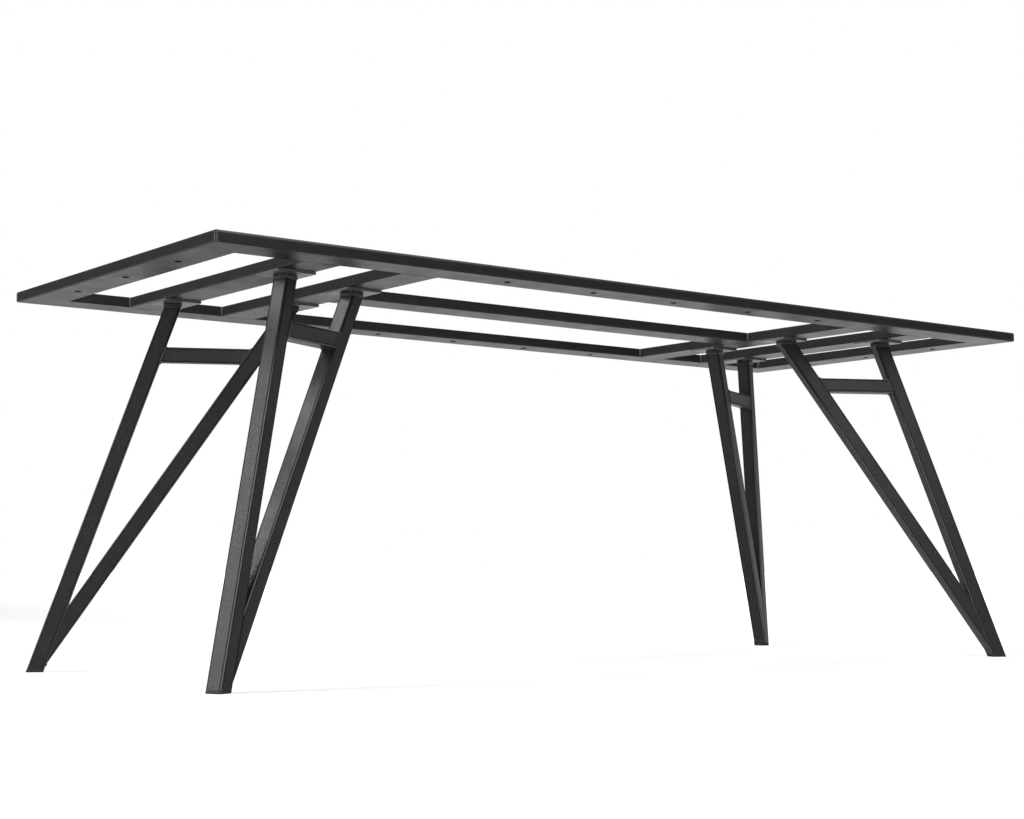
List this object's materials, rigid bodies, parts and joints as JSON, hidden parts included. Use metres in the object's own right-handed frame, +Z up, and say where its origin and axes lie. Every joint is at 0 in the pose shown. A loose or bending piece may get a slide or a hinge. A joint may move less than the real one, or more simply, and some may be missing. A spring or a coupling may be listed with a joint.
{
  "type": "metal table frame",
  "caption": "Flat steel table frame with mitred rails, cross bars and braced V-shaped legs, powder-coated black, with screw holes for a tabletop.",
  "frame": {"origin": "on the floor, under the middle of the frame", "axes": "+Z up, +X along the long side rails, +Y across the frame"},
  "size_m": [2, 0.8, 0.72],
  "materials": {
    "frame_coat": "satin black powder coat with a fine grain",
    "leg_coat": "satin black powder coat with a fine grain",
    "plate_coat": "satin black powder coat with a fine grain",
    "foot_plastic": "matt black moulded plastic"
  },
  "bodies": {
    "root": {"brace_far_left": "leg_coat", "brace_far_right": "leg_coat", "brace_near_left": "leg_coat", "brace_near_right": "leg_coat", "cap_inner_far_left": "plate_coat", "cap_inner_far_right": "plate_coat", "cap_inner_near_left": "plate_coat", "cap_inner_near_right": "plate_coat", "cap_outer_far_left": "plate_coat", "cap_outer_far_right": "plate_coat", "cap_outer_near_left": "plate_coat", "cap_outer_near_right": "plate_coat", "centre_rail": "frame_coat", "cross_bar_1": "frame_coat", "cross_bar_2": "frame_coat", "cross_bar_3": "frame_coat", "cross_bar_4": "frame_coat", "end_rail_left": "frame_coat", "end_rail_right": "frame_coat", "glide_far_left": "foot_plastic", "glide_far_right": "foot_plastic", "glide_near_left": "foot_plastic", "glide_near_right": "foot_plastic", "plate_inner_far_left": "plate_coat", "plate_inner_far_right": "plate_coat", "plate_inner_near_left": "plate_coat", "plate_inner_near_right": "plate_coat", "plate_outer_far_left": "plate_coat", "plate_outer_far_right": "plate_coat", "plate_outer_near_left": "plate_coat", "plate_outer_near_right": "plate_coat", "side_rail_far": "frame_coat", "side_rail_near": "frame_coat", "tube_inner_far_left": "leg_coat", "tube_inner_far_right": "leg_coat", "tube_inner_near_left": "leg_coat", "tube_inner_near_right": "leg_coat", "tube_outer_far_left": "leg_coat", "tube_outer_far_right": "leg_coat", "tube_outer_near_left": "leg_coat", "tube_outer_near_right": "leg_coat"}
  },
  "joints": []
}
